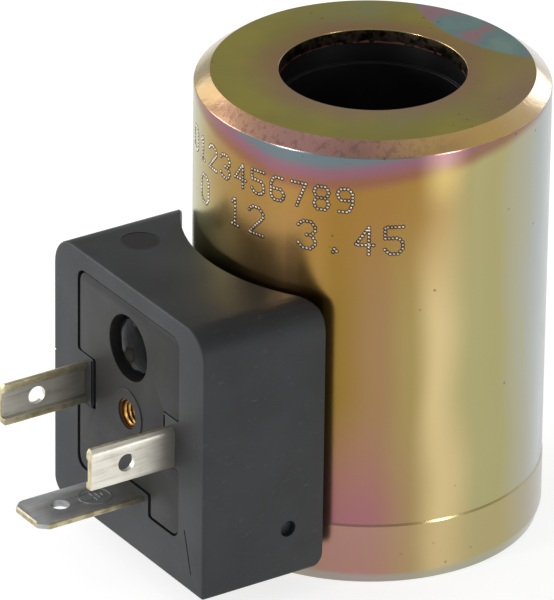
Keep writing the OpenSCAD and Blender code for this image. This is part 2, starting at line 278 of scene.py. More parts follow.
class Finish:
    """A new material, with short ways to add its nodes."""

    def __init__(self, name, colour, rough, metallic=0.0, specular=0.5):
        self.material = bpy.data.materials.new(name)
        self.material.use_nodes = True
        self.material.diffuse_color = opaque(colour)
        self.tree = self.material.node_tree
        self.shader = self.tree.nodes["Principled BSDF"]
        self.shader.inputs["Base Color"].default_value = opaque(colour)
        self.shader.inputs["Roughness"].default_value = rough
        self.shader.inputs["Metallic"].default_value = metallic
        self.shader.inputs["Specular IOR Level"].default_value = specular
        self.place = self.add("ShaderNodeTexCoord").outputs["Object"]

    def add(self, kind, **values):
        node = self.tree.nodes.new(kind)
        for key, value in values.items():
            setattr(node, key, value)
        return node

    def feed(self, socket, value):
        if isinstance(value, bpy.types.NodeSocket):
            self.tree.links.new(value, socket)
        else:
            socket.default_value = value

    def math(self, operation, a, b=0.0, c=0.0):
        node = self.add("ShaderNodeMath", operation=operation)
        for socket, value in zip(node.inputs, (a, b, c)):
            self.feed(socket, value)
        return node.outputs[0]

    def plus(self, a, b):
        return self.math("ADD", a, b)

    def minus(self, a, b):
        return self.math("SUBTRACT", a, b)

    def times(self, first, *others):
        for other in others:
            first = self.math("MULTIPLY", first, other)
        return first

    def scaled(self, value, factor, shift):
        """The value times the factor, plus the shift."""
        return self.math("MULTIPLY_ADD", value, factor, shift)

    def distance(self, a, b):
        """How far the point (a, b) lies from zero."""
        return self.math("SQRT", self.plus(self.times(a, a), self.times(b, b)))

    def span(self, value, low, high, to_low=0.0, to_high=1.0):
        """A smooth step: to_low below low, to_high above high."""
        node = self.add("ShaderNodeMapRange", interpolation_type="SMOOTHSTEP", clamp=True)
        for socket, number in zip(node.inputs, (value, low, high, to_low, to_high)):
            self.feed(socket, number)
        return node.outputs[0]

    def band(self, value, low, high, edge):
        """One between low and high, falling to zero over edge on each side."""
        rise = self.span(value, low - edge, low + edge)
        fall = self.span(value, high - edge, high + edge, 1.0, 0.0)
        return self.times(rise, fall)

    def stretch(self, scale, rotation=(0, 0, 0)):
        node = self.add("ShaderNodeMapping")
        self.feed(node.inputs["Vector"], self.place)
        node.inputs["Rotation"].default_value = rotation
        node.inputs["Scale"].default_value = scale
        return node.outputs[0]

    def noise(self, scale, detail=3.0, rough=0.5, place=None):
        node = self.add("ShaderNodeTexNoise")
        self.feed(node.inputs["Vector"], place or self.place)
        node.inputs["Scale"].default_value = scale
        node.inputs["Detail"].default_value = detail
        node.inputs["Roughness"].default_value = rough
        return node.outputs[0]

    def cells(self, scale):
        """The distance to the nearest of many scattered points."""
        node = self.add("ShaderNodeTexVoronoi")
        self.feed(node.inputs["Vector"], self.place)
        node.inputs["Scale"].default_value = scale
        return node.outputs["Distance"]

    def ramp(self, value, stops):
        """Eased colours from (place, colour) stops."""
        node = self.add("ShaderNodeValToRGB")
        table = node.color_ramp
        table.interpolation = "EASE"
        while len(table.elements) < len(stops):
            table.elements.new(1.0)
        for element, (position, colour) in zip(table.elements, stops):
            element.position = position
            element.color = opaque(colour)
        self.feed(node.inputs[0], value)
        return node.outputs[0]

    def ramp_round(self, turn, stops):
        """Eased colours round the Z axis, from (degrees, colour) stops; turn is in radians."""
        around = self.math("DIVIDE", self.plus(turn, math.pi), 2 * math.pi)
        return self.ramp(around, [((degrees + 180) / 360, colour) for degrees, colour in stops])

    def mix(self, share, a, b):
        node = self.add("ShaderNodeMix", data_type="RGBA")
        self.feed(node.inputs[0], share)
        for socket, value in ((node.inputs[6], a), (node.inputs[7], b)):
            self.feed(socket, value if isinstance(value, bpy.types.NodeSocket) else opaque(value))
        return node.outputs[2]

    def split(self):
        """The X, Y and Z of the place on the piece."""
        node = self.add("ShaderNodeSeparateXYZ")
        self.feed(node.inputs[0], self.place)
        return node.outputs

    def join(self, x, y, z):
        node = self.add("ShaderNodeCombineXYZ")
        for socket, value in zip(node.inputs, (x, y, z)):
            self.feed(socket, value)
        return node.outputs[0]

    def bump(self, height, distance, strength=1.0, under=None):
        node = self.add("ShaderNodeBump")
        self.feed(node.inputs["Height"], height)
        node.inputs["Distance"].default_value = distance
        node.inputs["Strength"].default_value = strength
        if under is not None:
            self.feed(node.inputs["Normal"], under)
        self.feed(self.shader.inputs["Normal"], node.outputs[0])
        return node.outputs[0]

    def colour(self, value):
        self.feed(self.shader.inputs["Base Color"], value)

    def rough(self, value):
        self.feed(self.shader.inputs["Roughness"], value)


def opaque(colour):
    """A colour as linear light with full alpha, from six hex digits or linear numbers."""
    if isinstance(colour, str):
        parts = [int(colour[i : i + 2], 16) / 255 for i in (0, 2, 4)]
        colour = [p / 12.92 if p <= 0.04045 else ((p + 0.055) / 1.055) ** 2.4 for p in parts]
    return (*colour, 1)


# -------------------------------------------------------------------- finishes


# Plating colours round the can's wall and round its rim, from +X in degrees. The wall's table also
# holds painted light: a painted highlight at -10 degrees and painted shade, darker and greyer, from
# 38 degrees on
WALL_TINTS_AND_PAINTED_LIGHT = (
    (-180, "a79a62"),
    (-150, "b09a72"),
    (-125, "a3a27e"),
    (-100, "b0aa74"),
    (-80, "a1895c"),
    (-62, "b89566"),
    (-54, "a8864a"),
    (-45, "8f7235"),
    (-30, "9b7b55"),
    (-20, "a18d58"),
    (-10, "d2bc88"),
    (3, "aba473"),
    (12, "a8a16f"),
    (22, "a7a48a"),
    (38, "a0a6a4"),
    (52, "929a9c"),
    (80, "a9a06a"),
    (105, "ab8f66"),
    (130, "9f9c72"),
    (155, "b3a06c"),
    (180, "a79a62"),
)
# The rim's colours also hold painted reflection: paler or darker by angle as the rim's reflections
# fall, besides the plating's own hues
RIM_TINTS_AND_PAINTED_LIGHT = (
    (-180, "a8a188"),
    (-130, "b8aa80"),
    (-108, "9a7f54"),
    (-86, "d8a888"),
    (-60, "c4948e"),
    (-38, "a88074"),
    (-12, "c8a36c"),
    (8, "dcb872"),
    (25, "e4c490"),
    (45, "ead8c0"),
    (80, "cac8c0"),
    (115, "a09e9c"),
    (150, "94906a"),
    (180, "a8a188"),
)
# Bands close under the rim, from the lowest: height, share and colour
RIM_BANDS = (
    (48.2 * MM, 0.8, "8a5a4e"),
    (49.6 * MM, 0.75, "8c6278"),
    (51.0 * MM, 0.9, "63797c"),
)


def wall_plating(made, turn, z, drift):
    """Gold with pink, green and grey bands that run up the wall; the grey is partly painted shade,
    and a painted highlight streak runs up to the rim.
    """
    wander = made.scaled(made.noise(28, 2, 0.5), 0.5, -0.25)
    colour = made.ramp_round(made.plus(turn, wander), WALL_TINTS_AND_PAINTED_LIGHT)
    # Warmer, pinker plating low on the can beside the block
    low = made.times(made.span(z, 3 * MM, 24 * MM, 1.0, 0.0), made.band(turn, -0.95, -0.42, 0.22))
    colour = made.mix(made.times(low, 0.85), colour, "a4667a")
    # Deeper yellow high on the can, over the block
    high = made.times(made.span(z, 30 * MM, 47 * MM), made.band(turn, -1.75, -0.12, 0.2))
    colour = made.mix(made.times(high, 0.75), colour, "9c7436")
    # The bands under the rim run out upwards to both sides
    climb = made.times(made.math("MAXIMUM", made.plus(turn, 0.87), 0.0), 2.9 * MM)
    fall = made.times(made.math("MAXIMUM", made.minus(-1.15, turn), 0.0), 4.5 * MM)
    level = made.minus(made.minus(made.scaled(drift, 1.6 * MM, z), climb), fall)
    blur = 0.8 * MM
    for height, share, tint in RIM_BANDS:
        band = made.span(level, height - blur, height + blur)
        colour = made.mix(made.times(band, share), colour, tint)
    # A painted highlight: one pale streak painted on up to the rim, where the key light's
    # reflection runs
    streak = made.times(made.band(turn, -0.26, -0.1, 0.1), made.span(z, 44 * MM, 49.2 * MM))
    tint = made.ramp(made.span(z, 48.5 * MM, 51.5 * MM), [(0.0, "dcc47c"), (1.0, "deaeb0")])
    return made.mix(made.times(streak, 0.75), colour, tint)


def top_plating(made, x, y, turn, radius, drift):
    """Olive, browner round the bore, with one lens-shaped teal patch at the back."""
    tones = [(0.3, "8d8f60"), (0.45, "978d40"), (0.6, "a2973a"), (0.72, "a28a4c")]
    colour = made.ramp(made.noise(70, 3), tones)
    pink = made.times(made.band(turn, 0.3, 1.1, 0.4), made.span(radius, 12 * MM, 16.5 * MM))
    colour = made.mix(made.times(pink, 0.7), colour, "a07a68")
    lens_x, lens_y, lens_radius = -5.1 * MM, 30.2 * MM, 18.7 * MM
    reach = made.add("ShaderNodeVectorMath", operation="LENGTH")
    made.feed(reach.inputs[0], made.join(made.plus(x, -lens_x), made.plus(y, -lens_y), 0.0))
    edge = made.scaled(drift, 1.2 * MM, reach.outputs["Value"])
    lens = made.span(edge, lens_radius, lens_radius + 0.4 * MM, 1.0, 0.0)
    lens_tones = [(0.4, "a5808c"), (0.5, "72959a"), (0.7, "82a49c")]
    colour = made.mix(made.times(lens, 0.9), colour, made.ramp(made.noise(170, 3), lens_tones))
    wave = made.scaled(made.noise(110, 2), 4 * MM, radius)
    near_bore = made.span(wave, 12 * MM, 17.2 * MM, 1.0, 0.0)
    near_bore = made.times(near_bore, made.span(lens, 0.0, 1.0, 1.0, 0.0))
    return made.mix(made.times(near_bore, 0.7), colour, "9a6e58")


def rubbed_rim(made, turn):
    """The rim bevel, rubbed thinner than the rest and scuffed over the block."""
    colour = made.ramp_round(turn, RIM_TINTS_AND_PAINTED_LIGHT)
    scuff = made.noise(1300, 4, 0.7, made.stretch((1, 1, 0.35)))
    rubbed = made.band(turn, -1.6, -0.3, 0.3)
    return made.mix(made.times(made.span(scuff, 0.5, 0.62), rubbed, 0.34), colour, "5d4438")


def zinc_plate(name, dulled=0.0):
    """Yellow passivated zinc for can and ring."""
    made = Finish(name, "a8945c", 0.3, 1.0)
    x, y, z = made.split()
    turn = made.math("ARCTAN2", y, x)
    radius = made.distance(x, y)
    drift = made.noise(60, 2, 0.5)
    top = made.span(z, COIL_TOP - 0.06 * MM, COIL_TOP - 0.01 * MM)
    rim_foot, rim_inner, blur = COIL_TOP - RIM_HEIGHT, CAN_RADIUS - RIM_WIDTH, 0.05 * MM
    rim = made.span(radius, rim_inner - 0.3 * MM, rim_inner + 0.1 * MM)
    rim = made.times(rim, made.span(z, rim_foot - blur, rim_foot + blur))
    flat = made.times(top, made.span(radius, rim_inner, rim_inner + blur, 1.0, 0.0))
    colour = made.mix(rim, wall_plating(made, turn, z, drift), rubbed_rim(made, turn))
    colour = made.mix(flat, colour, top_plating(made, x, y, turn, radius, drift))

    # The sheared wall of the hole in the top is rough, and painted near black as painted shade
    # inside the bore
    hole = made.span(radius, BORE_RADIUS + 0.05 * MM, BORE_RADIUS + 0.11 * MM, 1.0, 0.0)
    hole = made.times(hole, made.span(z, COIL_TOP - 0.2 * MM, COIL_TOP - 0.1 * MM, 1.0, 0.0))
    bore_shade_tone = made.ramp(made.noise(900, 3, 0.6), [(0.4, "16140f"), (0.62, "4a3f33")])
    colour = made.mix(hole, colour, bore_shade_tone)
    ragged = made.scaled(made.noise(700, 2), 0.6 * MM, z)
    burr = made.band(ragged, COIL_TOP - 1.5 * MM, COIL_TOP - 1.15 * MM, 0.08 * MM)
    burr = made.times(hole, burr)
    patchy = made.span(made.noise(1100, 2), 0.42, 0.55)
    colour = made.mix(made.times(burr, patchy), colour, "a5706a")

    specks = made.math("LESS_THAN", made.cells(650), 0.11)
    rare = made.math("GREATER_THAN", made.noise(160, 1), 0.62)
    colour = made.mix(made.times(specks, rare, 0.5), colour, "4d4432")
    colour = made.mix(dulled, colour, "b29c72")
    foot = made.span(made.scaled(drift, 1.2 * MM, z), 1.4 * MM, 2.2 * MM, 1.0, 0.0)
    made.colour(made.mix(made.times(foot, 0.6), colour, "9aa39c"))

    lines = made.join(made.times(turn, 30.0), made.times(z, 60.0), 0.0)
    drawn = made.noise(1.0, 4, 0.6, lines)
    matt = made.scaled(made.noise(300, 3), 0.1, 0.15)
    matt = made.plus(matt, made.times(drawn, 0.05))
    matt = made.plus(matt, made.times(top, 0.1))
    made.rough(made.plus(matt, made.times(hole, 0.3)))
    relief = made.bump(drawn, 0.003 * MM, 0.4)
    relief = made.bump(made.noise(1500, 3, 0.6), 0.004 * MM, 0.3, relief)
    dents = made.times(rim, made.noise(520, 3, 0.6))
    made.bump(dents, 0.06 * MM, 0.7, relief)
    return made.material


def moulded_plastic(
    name, deep, pale, rough, specular=0.4, flecks=0.22, grain_depth=0.012 * MM, ejector=False
):
    """Glass-filled nylon: near black, faintly cloudy, with a fine sparked grain."""
    made = Finish(name, deep, rough, 0.0, specular)
    colour = made.ramp(made.noise(130, 4, 0.6), [(0.3, deep), (0.7, pale)])
    fibre = made.noise(1700, 3, 0.7, made.stretch((1, 0.5, 1), rotation=(0.4, 0.2, 0.7)))
    colour = made.mix(made.times(made.span(fibre, 0.6, 0.78), flecks), colour, "6a6b6c")
    wipe = made.span(made.noise(55, 3, 0.5), 0.35, 0.7)
    if ejector:
        # The round mark of the mould's ejector pin, darker and duller
        x, y, z = made.split()
        reach = made.distance(made.minus(x, EJECTOR_X), made.minus(y, EJECTOR_Y))
        reach = made.scaled(made.noise(900, 2), 0.6 * MM, reach)
        mark = made.span(reach, EJECTOR_RADIUS, EJECTOR_RADIUS + 0.6 * MM, 1.0, 0.0)
        mark = made.times(mark, made.span(z, BLOCK_TOP - 0.5 * MM, BLOCK_TOP - 0.3 * MM))
        colour = made.mix(made.times(mark, 0.8), colour, "0e0f10")
        wipe = made.minus(wipe, made.times(mark, 1.5))
    made.colour(colour)
    polish, dust = 0.105, 0.042
    made.rough(made.scaled(wipe, -polish, rough + dust))
    relief = made.bump(made.noise(2600, 3, 0.6), grain_depth, 0.6)
    made.bump(made.noise(240, 2), 0.03 * MM, 0.4, relief)
    return made.material


def tinned_blade(name, bare_zones, deep="c4bfb0", mid="e2ded2", pale="f2eee5"):
    """Tin over brass, matt and streaked along the blade, with brass bare in the given zones.

    A zone is a list of limits (axis number, place, True when the zone lies below the place).
    """
    made = Finish(name, mid, 0.32, 1.0)
    parts = made.split()
    streak = made.noise(1, 4, 0.6, made.stretch((2500, 120, 2500)))
    patch = made.noise(500, 3)
    tone = made.scaled(streak, 0.6, made.times(patch, 0.4))
    colour = made.ramp(tone, [(0.3, deep), (0.5, mid), (0.7, pale)])
    bare, blur = 0.0, 0.08 * MM
    for zone in bare_zones:
        share = 1.0
        for axis, place, below in zone:
            side = made.span(parts[axis], place - blur, place + blur)
            share = made.times(share, made.minus(1.0, side) if below else side)
        bare = made.math("MAXIMUM", bare, share)
    brass_tone = made.ramp(made.noise(900, 3), [(0.35, "9a8c5c"), (0.65, "cdbf8e")])
    colour = made.mix(made.times(bare, 0.75), colour, brass_tone)
    # Painted darker near the block's face: partly tarnish from handling, partly painted shade and
    # dark reflection where the blade meets the face
    along = made.scaled(streak, 4 * MM, parts[1])
    made.colour(made.mix(made.span(along, -33.5 * MM, -29.5 * MM, 0.0, 0.75), colour, "8a877c"))
    made.rough(made.scaled(streak, 0.22, 0.36))
    relief = made.bump(streak, 0.008 * MM, 0.35)
    made.bump(patch, 0.01 * MM, 0.3, relief)
    return made.material


def plain_metal(name, deep, pale, rough, scale=900, streaked=False):
    made = Finish(name, pale, rough, 1.0)
    place = made.stretch((0.2, 1, 1)) if streaked else made.place
    grain = made.noise(scale, 4, 0.6, place)
    made.colour(made.ramp(grain, [(0.3, deep), (0.7, pale)]))
    made.rough(made.scaled(grain, 0.2, rough - 0.1))
    made.bump(grain, 0.01 * MM, 0.4)
    return made.material


def threaded_brass():
    """Machined brass, painted dark brown in its thread roots as painted shade."""
    made = Finish("machined_brass", "c9974a", 0.35, 1.0)
    x, _, z = made.split()
    radius = made.distance(x, made.minus(z, SCREW_HEIGHT))
    root = made.span(radius, 1.27 * MM, 1.47 * MM)
    thread_root_shade = made.times(root, made.span(radius, 1.6 * MM, 1.65 * MM, 1.0, 0.0))
    tone = made.ramp(made.noise(700, 3), [(0.3, "c08c40"), (0.7, "ecc478")])
    made.colour(made.mix(made.times(thread_root_shade, 0.95), tone, "4a1d08"))
    made.rough(made.scaled(thread_root_shade, 0.1, 0.3))
    made.bump(made.noise(1500, 3), 0.004 * MM, 0.3)
    return made.material


def enamelled_wire():
    made = Finish("enamelled_copper", "b8683a", 0.25, 1.0)
    tone = made.noise(300, 3)
    made.colour(made.ramp(tone, [(0.35, "8e4522"), (0.65, "c9783f")]))
    made.rough(made.scaled(tone, 0.2, 0.15))
    made.shader.inputs["Coat Weight"].default_value = 0.6
    made.shader.inputs["Coat Roughness"].default_value = 0.12
    return made.material


def coil_tape():
    """Polyester film, with the edge of each lap standing a little proud."""
    made = Finish("polyester_tape", "b8912c", 0.28)
    laps_per_metre = 110.0
    lap = made.math("FRACT", made.times(made.split()[2], laps_per_metre))
    edge = made.span(lap, 0.9, 0.97)
    colour = made.ramp(made.noise(200, 3), [(0.35, "a37a1e"), (0.65, "cba23f")])
    made.colour(made.mix(made.times(edge, 0.5), colour, "6f5413"))
    made.rough(made.scaled(made.noise(500, 2), 0.2, 0.2))
    made.bump(edge, 0.05 * MM, 0.8)
    return made.material


def woven_sleeve():
    made = Finish("woven_glass_sleeve", "d8d4c4", 0.7, 0.0, 0.4)
    weave = made.add("ShaderNodeTexWave", wave_type="BANDS", bands_direction="DIAGONAL")
    made.feed(weave.inputs["Vector"], made.place)
    weave.inputs["Scale"].default_value = 900
    weave.inputs["Distortion"].default_value = 0.5
    thread = weave.outputs["Fac"]
    made.colour(made.ramp(thread, [(0.2, "b5ae96"), (0.8, "e6e2d4")]))
    made.rough(made.scaled(thread, -0.1, 0.75))
    made.bump(thread, 0.03 * MM, 0.8)
    return made.material


def potting_resin():
    """Black resin, glossy and uneven as it set."""
    made = Finish("potting_resin", "0b0b0d", 0.12, 0.0, 0.07)
    flow = made.noise(260, 3, 0.5)
    made.colour(made.ramp(flow, [(0.35, "060708"), (0.7, "111312")]))
    made.rough(made.scaled(flow, 0.16, 0.06))
    made.bump(made.noise(330, 2, 0.4), 0.5 * MM, 0.7)
    return made.material


plate = zinc_plate("zinc_plate_can")
plate_ring = zinc_plate("zinc_plate_ring", 0.35)
black_block = moulded_plastic("black_nylon_block", "1d1f21", "26282a", 0.5, ejector=True)
black_carrier = moulded_plastic("black_nylon_carrier", "1a1a1a", "262625", 0.48, 0.28)
black_bobbin = moulded_plastic(
    "black_bobbin_plastic", "0c0c0d", "121213", 0.38, 0.3, flecks=0.0, grain_depth=0.004 * MM
)
resin = potting_resin()
brass = threaded_brass()
strip = plain_metal("spring_brass_strip", "8a6a2c", "cfa955", 0.32, streaked=True)
rivet = plain_metal("zinc_rivet", "8d9092", "c9cccf", 0.3)
solder_tin = plain_metal("solder_tin", "9b9da0", "d5d6d8", 0.2, 500)
copper = enamelled_wire()
film = coil_tape()
sleeve = woven_sleeve()


# ---------------------------------------------------------------------- pieces


def fit(piece, node, material):
    """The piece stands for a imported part, rides with it and takes its finish."""
    piece.data.materials.clear()
    piece.data.materials.append(material)
    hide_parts(node)
    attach(piece, RIG)
    return piece


def make_can():
    """The can: wall, bevelled end with its hole, and a window for the block's neck."""
    top_under = COIL_TOP - CAN_TOP
    section = round_corners(
        [
            (BORE_RADIUS, COIL_TOP),
            (CAN_RADIUS - RIM_WIDTH, COIL_TOP),
            (CAN_RADIUS, COIL_TOP - RIM_HEIGHT),
            (CAN_RADIUS, STEP_HEIGHT),
            (CAN_INSIDE, STEP_HEIGHT),
            (CAN_INSIDE, top_under),
            (BORE_RADIUS, top_under),
        ],
        [0.12 * MM, 0.22 * MM, 0.25 * MM, 0.05 * MM, 0, 0.3 * MM, 0.1 * MM],
        4,
    )
    can = turned("coil_can_plated", section, 240)
    window = boxed(
        "window",
        (-NECK_HALF, -BLOCK_BACK_RADIUS - MM, NECK_BOTTOM),
        (NECK_HALF, -11.7 * MM, NECK_TOP),
    )
    combine(can, window)
    return fit(smooth(can), "coil_can", plate)


def make_ring():
    """The ring that closes the can below, with a bevelled foot and a fine step."""
    foot_width, foot_height, step = 0.45 * MM, 1.45 * MM, 0.25 * MM
    section = round_corners(
        [
            (BORE_RADIUS, 0),
            (RING_RADIUS - foot_width, 0),
            (RING_RADIUS, foot_height),
            (RING_RADIUS, STEP_HEIGHT - step),
            (CAN_RADIUS - 0.02 * MM, STEP_HEIGHT),
            (CAN_INSIDE, STEP_HEIGHT),
            (CAN_INSIDE, RING_TOP),
            (BORE_RADIUS, RING_TOP),
        ],
        [0.2 * MM, 0.2 * MM, 0.5 * MM, 0.08 * MM, 0, 0, 0.2 * MM, 0.2 * MM],
        4,
    )
    ring = turned("pole_ring_plated", section, 240)
    return fit(ring, "pole_ring", plate_ring)


def make_bobbin():
    """The coil's tube and flanges, with the seal's seat in its upper end."""
    seat = BORE_RADIUS + 0.35 * MM
    tube = BORE_RADIUS + 1.2 * MM
    top = bobbin_high.z
    seat_floor = top - 2.4 * MM
    edge = 0.2 * MM
    section = round_corners(
        [
            (BORE_RADIUS, RING_TOP),
            (FLANGE_RADIUS, RING_TOP),
            (FLANGE_RADIUS, RING_TOP + FLANGE_THICK),
            (tube, RING_TOP + FLANGE_THICK),
            (tube, top - FLANGE_THICK),
            (FLANGE_RADIUS, top - FLANGE_THICK),
            (FLANGE_RADIUS, top),
            (seat, top),
            (seat, seat_floor),
            (BORE_RADIUS, seat_floor),
        ],
        [0, edge, edge, 0.3 * MM, 0.3 * MM, edge, edge, 0.1 * MM, 0.08 * MM, 0.12 * MM],
        3,
    )
    bobbin = turned("bobbin_moulded", section, 160)
    return fit(bobbin, "bobbin", black_bobbin)


def block_outline(inset, upper=3.5 * MM, lower=1.8 * MM, sharp=0.3 * MM):
    """The block's front outline. Only the lower corner at +X is almost square."""
    half = BLOCK_HALF - inset
    low, high = BLOCK_BOTTOM + inset, BLOCK_TOP - inset
    upper, lower = max(upper - inset, sharp), max(lower - inset, sharp)
    return round_corners(
        [(-half, low), (half, low), (half, high), (-half, high)], [lower, sharp, upper, upper], 8
    )


def carrier_outline(gap):
    """The carrier's front outline, drawn in by gap, notched below and at both sides."""
    half = carrier_high.x + CARRIER_GAP - gap
    low = carrier_low.z - CARRIER_GAP + gap
    high = carrier_high.z + CARRIER_GAP - gap
    notch, notch_top = 4.2 * MM + gap, 11.3 * MM + gap
    inner = 7.1 * MM - gap
    side_low, side_high = 17 * MM - gap, 22.9 * MM + 0.2 * gap
    points = [(-half, low), (-notch, low), (-notch, notch_top)]
    points += [(notch, notch_top), (notch, low), (half, low)]
    points += [(half, side_low), (inner, side_low), (inner, side_high), (half, side_high)]
    points += [(half, high), (-half, high)]
    points += [(-half, side_high), (-inner, side_high), (-inner, side_low), (-half, side_low)]
    corner, nick = 1.3 * MM, 0.35 * MM
    foot, side = [corner] + [nick] * 4, [corner] + [nick] * 4
    return round_corners(points, foot + side + [corner, corner] + [nick] * 4, 4)


def cut_slots():
    """Narrow slots in the block's face, one beside each current blade."""
    half, deep, bottom, top = 0.16 * MM, 0.5 * MM, 17.1 * MM, 22.6 * MM
    for middle in (-7.35 * MM, 7.35 * MM):
        yield boxed("slot", (middle - half, FACE - MM, bottom), (middle + half, FACE + deep, top))


def cut_marks():
    """Marks left by the mould: a dimple, an ejector disc, a slanted line and a nick."""
    dimple_y, dimple_z = -20.3 * MM, 9.1 * MM
    yield rod(
        "dimple",
        0.95 * MM,
        (BLOCK_HALF - 0.8 * MM, dimple_y, dimple_z),
        (BLOCK_HALF + MM, dimple_y, dimple_z),
        40,
    )
    yield rod(
        "pin",
        EJECTOR_RADIUS + 0.15 * MM,
        (EJECTOR_X, EJECTOR_Y, BLOCK_TOP - 0.05 * MM),
        (EJECTOR_X, EJECTOR_Y, BLOCK_TOP + MM),
        64,
    )
    line_half, line_reach = 0.09 * MM, 2.55 * MM
    line = boxed("line", (-line_half, -MM, -line_reach), (line_half, 0.4 * MM, line_reach))
    lean = Matrix.Rotation(math.radians(-15.5), 4, "Y")
    line.data.transform(Matrix.Translation((12.2 * MM, FACE, 7.95 * MM)) @ lean)
    yield line
    yield boxed(
        "nick",
        (-BLOCK_HALF - MM, FACE - MM, 20.55 * MM),
        (-BLOCK_HALF + 0.45 * MM, FACE + 0.6 * MM, 20.9 * MM),
    )


def block_filling():
    """The moulding inside the can: all round the taped winding, and over its flanges' rims."""
    top = COIL_TOP - CAN_TOP
    return turned(
        "fill",
        [
            (FLANGE_RADIUS, RING_TOP),
            (CAN_INSIDE, RING_TOP),
            (CAN_INSIDE, top),
            (FLANGE_RADIUS, top),
            (FLANGE_RADIUS, top - FLANGE_THICK),
            (TAPE_RADIUS, top - FLANGE_THICK),
            (TAPE_RADIUS, RING_TOP + FLANGE_THICK),
            (FLANGE_RADIUS, RING_TOP + FLANGE_THICK),
        ],
        160,
    )


def make_block():
    """The moulding: the block with its pocket, and the neck and filling inside the can."""
    roll, back_corner = 0.3 * MM, 1.6 * MM
    block = bevelled_slab(
        "overmould_black", block_outline(0), block_outline(roll), FACE, BLOCK_BACK, roll, 5
    )
    combine(block, rod("hollow", BLOCK_BACK_RADIUS, (0, 0, 0), (0, 0, BLOCK_TOP + 5 * MM), 240))
    front, back = FACE - MM, BLOCK_BACK
    side_view = round_corners(
        [(front, BLOCK_BOTTOM), (back, BLOCK_BOTTOM), (back, BLOCK_TOP), (front, BLOCK_TOP)],
        [0, back_corner, back_corner, 0],
        6,
    )
    reach = BLOCK_HALF + MM
    envelope = lofted("envelope", [[(x, y, z) for y, z in side_view] for x in (-reach, reach)])
    combine(block, envelope, action="INTERSECT")
    soften(block, roll, 3, 50)
    pocket_ends = (FACE - MM, FACE + 4 * MM)
    pocket = lofted("pocket", [[(x, y, z) for x, z in carrier_outline(0)] for y in pocket_ends])
    combine(block, pocket, *cut_slots(), *cut_marks())
    neck = boxed(
        "neck",
        (-NECK_HALF, -BLOCK_BACK_RADIUS - 0.6 * MM, NECK_BOTTOM),
        (NECK_HALF, -12 * MM, NECK_TOP),
    )
    fill = block_filling()
    combine(neck, rod("core", TAPE_RADIUS, (0, 0, 0), (0, 0, COIL_TOP), 160))
    combine(block, neck, fill, action="UNION")
    return fit(smooth(block, 32), "overmould", black_block)


def make_carrier():
    """The separate insert in the block's face, pressed in a little off centre."""
    roll, shift, lift = 0.1 * MM, 0.26 * MM, 0.1 * MM
    outline, inset = (
        [(x + shift, z + lift) for x, z in carrier_outline(gap)]
        for gap in (CARRIER_GAP, CARRIER_GAP + roll)
    )
    back = carrier_high.y
    carrier = bevelled_slab(
        "terminal_carrier_black", outline, inset, FACE + 0.02 * MM, back, roll, 2
    )
    screw, recess_middle = (0, 0, SCREW_HEIGHT), (0, 0, RECESS_HEIGHT)
    boss_radius, boss_front, boss_edge = 2.9 * MM, FACE - 0.1 * MM, 0.08 * MM
    boss_section = [
        (0, boss_front),
        (boss_radius - boss_edge, boss_front),
        (boss_radius, FACE - 0.04 * MM),
        (boss_radius, FACE + MM),
        (0, FACE + MM),
    ]
    combine(carrier, turned("boss", boss_section, 96, "Y", screw), action="UNION")
    lead_in = 0.08 * MM
    recess_section = [
        (0, FACE - MM),
        (RECESS_RADIUS + lead_in + MM, FACE - MM),
        (RECESS_RADIUS, FACE + lead_in),
        (RECESS_RADIUS, back + MM),
        (0, back + MM),
    ]
    mouth, throat = 1.75 * MM, 1.65 * MM
    throat_section = [
        (0, FACE - MM),
        (mouth, FACE - MM),
        (mouth, FACE - 0.02 * MM),
        (throat, insert_low.y),
        (INSERT_RADIUS, insert_low.y),
        (INSERT_RADIUS, back + MM),
        (0, back + MM),
    ]
    combine(
        carrier,
        turned("recess", recess_section, 96, "Y", recess_middle),
        turned("throat", throat_section, 96, "Y", screw),
    )
    return fit(smooth(carrier, 32), "terminal_carrier", black_carrier)


def make_plug():
    """A domed black plug with a narrow moat round it."""
    crown, back = plug_low.y, plug_high.y
    button, sag, roll = RECESS_RADIUS - 0.5 * MM, 0.7 * MM, 0.3 * MM
    moat_floor = crown + 1.55 * MM
    shoulder = arc(button - roll, crown + sag + roll, roll, 0, -78, 6)
    reach, level = shoulder[-1]
    steps = 12
    dome = []
    for k in range(1, steps):
        share = 1 - k / steps
        dome.append((reach * share, crown + (level - crown) * share * share))
    moat = [(RECESS_RADIUS, back), (RECESS_RADIUS, moat_floor), (button, moat_floor)]
    section = moat + shoulder + dome + [(0, crown), (0, back)]
    plug = turned("recess_plug_resin", section, 96, "Y", (0, 0, RECESS_HEIGHT))
    return fit(plug, "recess_plug", resin)


